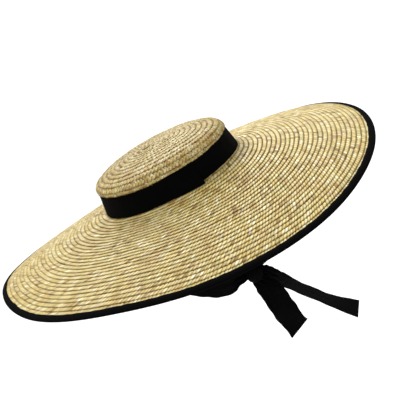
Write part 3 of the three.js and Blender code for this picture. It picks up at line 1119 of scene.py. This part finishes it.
@dataclass(frozen=True)
class RibbonStrip:
    """A length of 32 mm ribbon laid along its rows. Its name is also its node's."""

    name: str
    rows: tuple[Row, ...]
    long: float
    steps: int = 160
    cut: float = 0.0
    full: float = 32.0
    thickness: float = 0.45
    pleats: float = 3.0
    deepest_fold: float = 2.3
    ripple: float = 0.7
    edge_wave: float = 0.8
    seed: int = 0
    outline: Outline = flat_outline(25)

    def column(self, name: str, share: np.ndarray) -> np.ndarray:
        """One number of the rows, smoothed, at shares of the ribbon's length."""
        spot = np.clip(share, 0, 0.999999) * (len(self.rows) - 1)
        return smooth_value([getattr(row, name) for row in self.rows], spot, closed=False)

    def middle(self, share: np.ndarray) -> np.ndarray:
        """The middle line's points."""
        return np.stack([self.column(axis, share) for axis in "xyz"], axis=-1)

    def place(self, u: np.ndarray, v: np.ndarray) -> np.ndarray:
        """Puts the ribbon's outline along its rows, gathered where it is narrow.

        Args:
            u: shares of the ribbon's length.
            v: shares round the outline.

        Returns:
            The points, in millimetres.
        """
        across, up = self.outline.at(v)
        step = 0.004
        run = unit(self.middle(np.minimum(u + step, 1)) - self.middle(np.maximum(u - step, 0)))
        lean = np.radians(self.column("lean", u))
        turn = np.radians(self.column("turn", u))
        level = np.cos(turn)
        breadth = np.stack([np.sin(turn), level * np.cos(lean), level * np.sin(lean)], axis=-1)
        face = unit(np.cross(run, breadth))
        width = self.column("width", u)
        slack = np.sqrt(np.maximum((self.full / width) ** 2 - 1, 0) * 2)
        fold = np.minimum(width / (math.tau * self.pleats) * slack, self.deepest_fold)
        wave = slow_wave(u * self.long, (47.0, 29.0, 18.0), SEED + self.seed)
        pleat = fold * np.sin(math.pi * self.pleats * across + 1.3 * wave + self.seed)
        sway = self.ripple * slow_wave(u * self.long + 9 * across, (38.0, 61.0), SEED + 7 + self.seed)
        edge = self.edge_wave * slow_wave(u * self.long, (13.0, 21.0, 34.0), SEED + 9 + self.seed)
        out = across * (width / 2 + edge * np.abs(across))
        off = up * self.thickness / 2 + pleat + sway * (0.3 + across**2)
        slant = self.cut * across * u**6
        return self.middle(u) + breadth * out[:, None] + face * off[:, None] + run * slant[:, None]

    def build(
        self, finish: bpy.types.Material, rests_on: list[str], with_pieces: Sequence[bpy.types.Object] = ()
    ) -> None:
        """Args:
            finish: its material.
            rests_on: the names of what it hangs from; not used.
            with_pieces: the pieces on it; not used.
        """

        def unroll(u: np.ndarray, v: np.ndarray) -> np.ndarray:
            """Millimetres along the ribbon and round its outline."""
            return np.stack([u * self.long, self.outline.unrolled(v, self.full)], axis=-1)

        piece = bent_grid(self.name, (self.steps, self.outline.corners()), self.place, unroll)
        dress(piece, finish, (self.name,))


@dataclass(frozen=True)
class LoopRow:
    """One row of a bow's loop. Puff is how far each layer stands out from the middle."""

    y: float
    z: float
    width: float
    lean: float
    puff: float


@dataclass(frozen=True)
class Bow:
    """The knot, its two loops and its two ends."""

    middle: tuple[float, float, float] = (-40.0, -35.0, -159.0)
    half: tuple[float, float, float] = (9.0, 12.5, 12.0)
    creases: float = 9.5
    crease: float = 0.055
    out_of_round: float = 0.035
    back: tuple[LoopRow, ...] = (
        LoopRow(-31, -157.5, 11, 90, 0.7),
        LoopRow(-22.3, -155, 12, 92, 1.2),
        LoopRow(-11, -152, 23.5, 100, 5),
        LoopRow(-2.5, -151.5, 30.5, 112, 9),
        LoopRow(13, -144.5, 32, 121, 12),
        LoopRow(30, -134.5, 32, 122, 12),
        LoopRow(43, -125.5, 32, 123, 7),
        LoopRow(47, -122.5, 32, 123, 0),
    )
    front: tuple[LoopRow, ...] = (
        LoopRow(-38, -156, 10, 44, 0.7),
        LoopRow(-44.6, -150.8, 11, 46, 1.2),
        LoopRow(-55, -141.5, 21, 50, 5),
        LoopRow(-68, -131, 29, 53, 10),
        LoopRow(-84, -119, 32, 53, 13),
        LoopRow(-99, -108, 32, 54, 10),
        LoopRow(-107, -102, 32, 54, 6),
        LoopRow(-110, -99.5, 32, 54, 0),
    )
    tail_near: tuple[Row, ...] = (
        Row(-41, -36, -162, 15),
        Row(-42, -37, -171, 20),
        Row(-46, -42, -181, 29, -4),
        Row(-49, -45, -195, 32.5, -6, 4),
        Row(-51, -47, -216, 33, -8, -6),
        Row(-49, -50, -239, 32, -9, 5),
        Row(-48, -53.5, -258, 32, -9),
    )
    tail_front: tuple[Row, ...] = (
        Row(-38, -43, -158, 14, -78, 4),
        Row(-37, -47.6, -163, 17, -72, 8),
        Row(-36, -52.5, -170, 24, -56, 22),
        Row(-34, -58, -182, 31, -40, 36),
        Row(-33, -67.5, -194.5, 32, -33, 43),
        Row(-31, -84.5, -220, 32, -38, 48),
        Row(-31, -107.5, -250, 32, -43, 45),
        Row(-33, -137, -282.5, 33.5, -46, 30),
    )

    def loop(self, name: str, rows: tuple[LoopRow, ...], long: float, seed: int) -> RibbonStrip:
        """Lays a loop's strip out along one layer, round the end and back along the other.

        Args:
            name: the loop's name.
            rows: the loop's rows, from the knot outwards.
            long: the ribbon's length.
            seed: picks its ripples.

        Returns:
            The strip.
        """

        def layer(row: LoopRow, side: int) -> Row:
            """A row of one layer."""
            return Row(self.middle[0] - side * row.puff, row.y, row.z, row.width, row.lean)

        out = [layer(row, 1) for row in rows]
        home = [layer(row, -1) for row in rows[-2::-1]]
        return RibbonStrip(name, (*out, *home), long, steps=220, seed=seed)

    def knot(self) -> bpy.types.Object:
        """The knot: ribbon wound round the waist of the bow and pulled tight, so that it creases.

        Returns:
            The piece.
        """
        bm = bmesh.new()
        bmesh.ops.create_uvsphere(bm, u_segments=72, v_segments=48, radius=1.0, calc_uvs=False)
        layer = bm.loops.layers.uv.new("flat")
        upright = Matrix.Rotation(math.pi / 2, 3, "X")
        bmesh.ops.rotate(bm, cent=(0, 0, 0), matrix=upright, verts=bm.verts[:])
        for vert in bm.verts:
            side = vert.co.y
            angle = math.atan2(vert.co.z, vert.co.x)
            girth = max(1 - side * side, 0.0) ** 0.5
            crease = self.crease * math.sin(self.creases * side + 0.9 * math.sin(angle + 0.6)) * girth
            wide = 1 + crease + self.out_of_round * math.sin(2 * angle + 1.1)
            plump = wide * min(1.0, 0.72 + 0.5 * girth)
            vert.co = (vert.co.x * plump * 1.06, side * 0.94, vert.co.z * plump * 1.04)
        bmesh.ops.scale(bm, vec=Vector(self.half) * MM, verts=bm.verts[:])
        for face in bm.faces:
            for loop in face.loops:
                at = loop.vert.co
                loop[layer].uv = (math.atan2(at.z, at.x) * self.half[2], at.y / MM)
        bmesh.ops.translate(bm, vec=Vector(self.middle) * MM, verts=bm.verts[:])
        bmesh.ops.recalc_face_normals(bm, faces=bm.faces[:])
        mesh = as_mesh("bow_knot", bm)
        mesh.shade_smooth()
        return in_scene("bow_knot", mesh)

    def build(self, finish: bpy.types.Material) -> bpy.types.Object:
        """Builds the bow.

        Args:
            finish: the ribbon's material.

        Returns:
            The knot.
        """
        knot = self.knot()
        dress(knot, finish, ("bow_knot",))
        for strip in (
            self.loop("bow_loop_back", self.back, 196, 1),
            self.loop("bow_loop_front", self.front, 192, 2),
            RibbonStrip("bow_tail_near", self.tail_near, 100, cut=4.6, seed=3),
            RibbonStrip("bow_tail_front", self.tail_front, 166, cut=7.0, seed=4),
        ):
            strip.build(finish, ["bow_knot"])
        return knot


@dataclass(frozen=True)
class Ties:
    """The two ties, from inside the crown down to the knot."""

    near: tuple[Row, ...] = (
        Row(-80.2, 0, 22, 32),
        Row(-83.4, 0, -3, 32, -4),
        Row(-81, -7, -42, 32, -11),
        Row(-72, -17, -86, 31, -14),
        Row(-58, -28, -122, 24, -18),
        Row(-43.5, -34, -146.6, 13, -8),
        Row(-41, -35, -154, 11, -4),
    )
    far: tuple[Row, ...] = (
        Row(80.2, 0, 22, 32),
        Row(83.4, 0, -3, 32, -4),
        Row(80, -8, -42, 32, -11),
        Row(70, -18, -86, 32, -13),
        Row(49, -28, -128, 32, -10),
        Row(17, -35, -156, 31, -5),
        Row(-12, -36.5, -162, 24),
        Row(-30.6, -35, -160, 13),
        Row(-37, -35, -159, 11),
    )

    def build(self, finish: bpy.types.Material, knot: bpy.types.Object) -> None:
        """Builds both ties.

        Args:
            finish: the ribbon's material.
            knot: the knot that they end in.
        """
        holds = ["crown_plait"]
        RibbonStrip("tie_near", self.near, 194, seed=5).build(finish, holds, [knot])
        RibbonStrip("tie_far", self.far, 300, steps=220, seed=6).build(finish, holds)


@dataclass(frozen=True)
class Studio:
    """The floor, the soft lights and the camera at the photograph's angle."""

    eye: tuple[float, float, float] = (-1.41693, -0.01929, 0.44615)
    right: tuple[float, float, float] = (-0.15844, -0.87573, -0.45607)
    up: tuple[float, float, float] = (0.28738, -0.48281, 0.82723)
    back: tuple[float, float, float] = (-0.94462, 0.0, 0.32816)
    lens: float = 102.22
    sensor: float = 36.0
    sight: float = 200.0
    floor_below: float = 2.4
    floor_size: float = 120.0
    paper: str = "#f7f7f7"
    suns: tuple[tuple[str, tuple[float, float, float], float, float], ...] = (
        ("key", (0.2, 0.38, 0.9), 1.95, 22.0),
        ("sheen", (0.74, -0.05, 0.66), 1.5, 34.0),
        ("fill", (-0.9, 0.2, 0.35), 0.45, 60.0),
    )
    room: float = 0.5

    def camera(self) -> None:
        """Makes the camera. Its width is the picture's 400 px."""
        data = bpy.data.cameras.new("camera")
        data.lens = self.lens
        data.sensor_width = self.sensor
        data.clip_end = self.sight
        camera = in_scene("camera", data)
        turn = Matrix((self.right, self.up, self.back)).transposed().to_4x4()
        camera.matrix_world = Matrix.Translation(self.eye) @ turn
        bpy.context.scene.camera = camera

    def lights(self) -> None:
        """Makes the soft lights and the even light of a white room."""
        for name, towards, strength, spread in self.suns:
            data = bpy.data.lights.new(name, "SUN")
            data.energy = strength
            data.angle = math.radians(spread)
            lamp = in_scene(name, data)
            lamp.rotation_mode = "QUATERNION"
            lamp.rotation_quaternion = Vector(towards).to_track_quat("Z", "Y")
        world = bpy.data.worlds.new("room")
        world.use_nodes = True
        background = world.node_tree.nodes["Background"]
        background.inputs["Color"].default_value = (1, 1, 1, 1)
        background.inputs["Strength"].default_value = self.room
        bpy.context.scene.world = world

    def floor(self) -> None:
        """Makes a plain pale floor, far enough below for the hat to hang clear of it."""
        bm = bmesh.new()
        bmesh.ops.create_grid(bm, x_segments=8, y_segments=8, size=self.floor_size / 2)
        bmesh.ops.translate(bm, vec=(0, 0, -self.floor_below), verts=bm.verts[:])
        floor = in_scene("studio_floor", as_mesh("studio_floor", bm))
        finish = bpy.data.materials.new("matt_paper")
        finish.use_nodes = True
        shader = finish.node_tree.nodes["Principled BSDF"]
        shader.inputs["Base Color"].default_value = linear(self.paper)
        shader.inputs["Roughness"].default_value = 1.0
        shader.inputs["Specular IOR Level"].default_value = 0.0
        floor.data.materials.append(finish)

    def build(self) -> None:
        """Makes the whole studio."""
        self.camera()
        self.lights()
        self.floor()
        bpy.context.scene.view_settings.view_transform = "Standard"


def main() -> None:
    """Builds the studio and the hat."""
    logging.basicConfig(level=logging.INFO, format="%(message)s")
    Studio().build()
    form = HatForm()
    StrawBody(form).build()
    EdgeBinding(form).build(BlackGrosgrain("black_grosgrain_binding").material())
    HatBand(form).build(BlackGrosgrain("black_grosgrain_band").material())
    ribbon = BlackGrosgrain("black_grosgrain_ribbon").material()
    knot = Bow().build(ribbon)
    Ties().build(ribbon, knot)


if __name__ == "__main__":
    main()
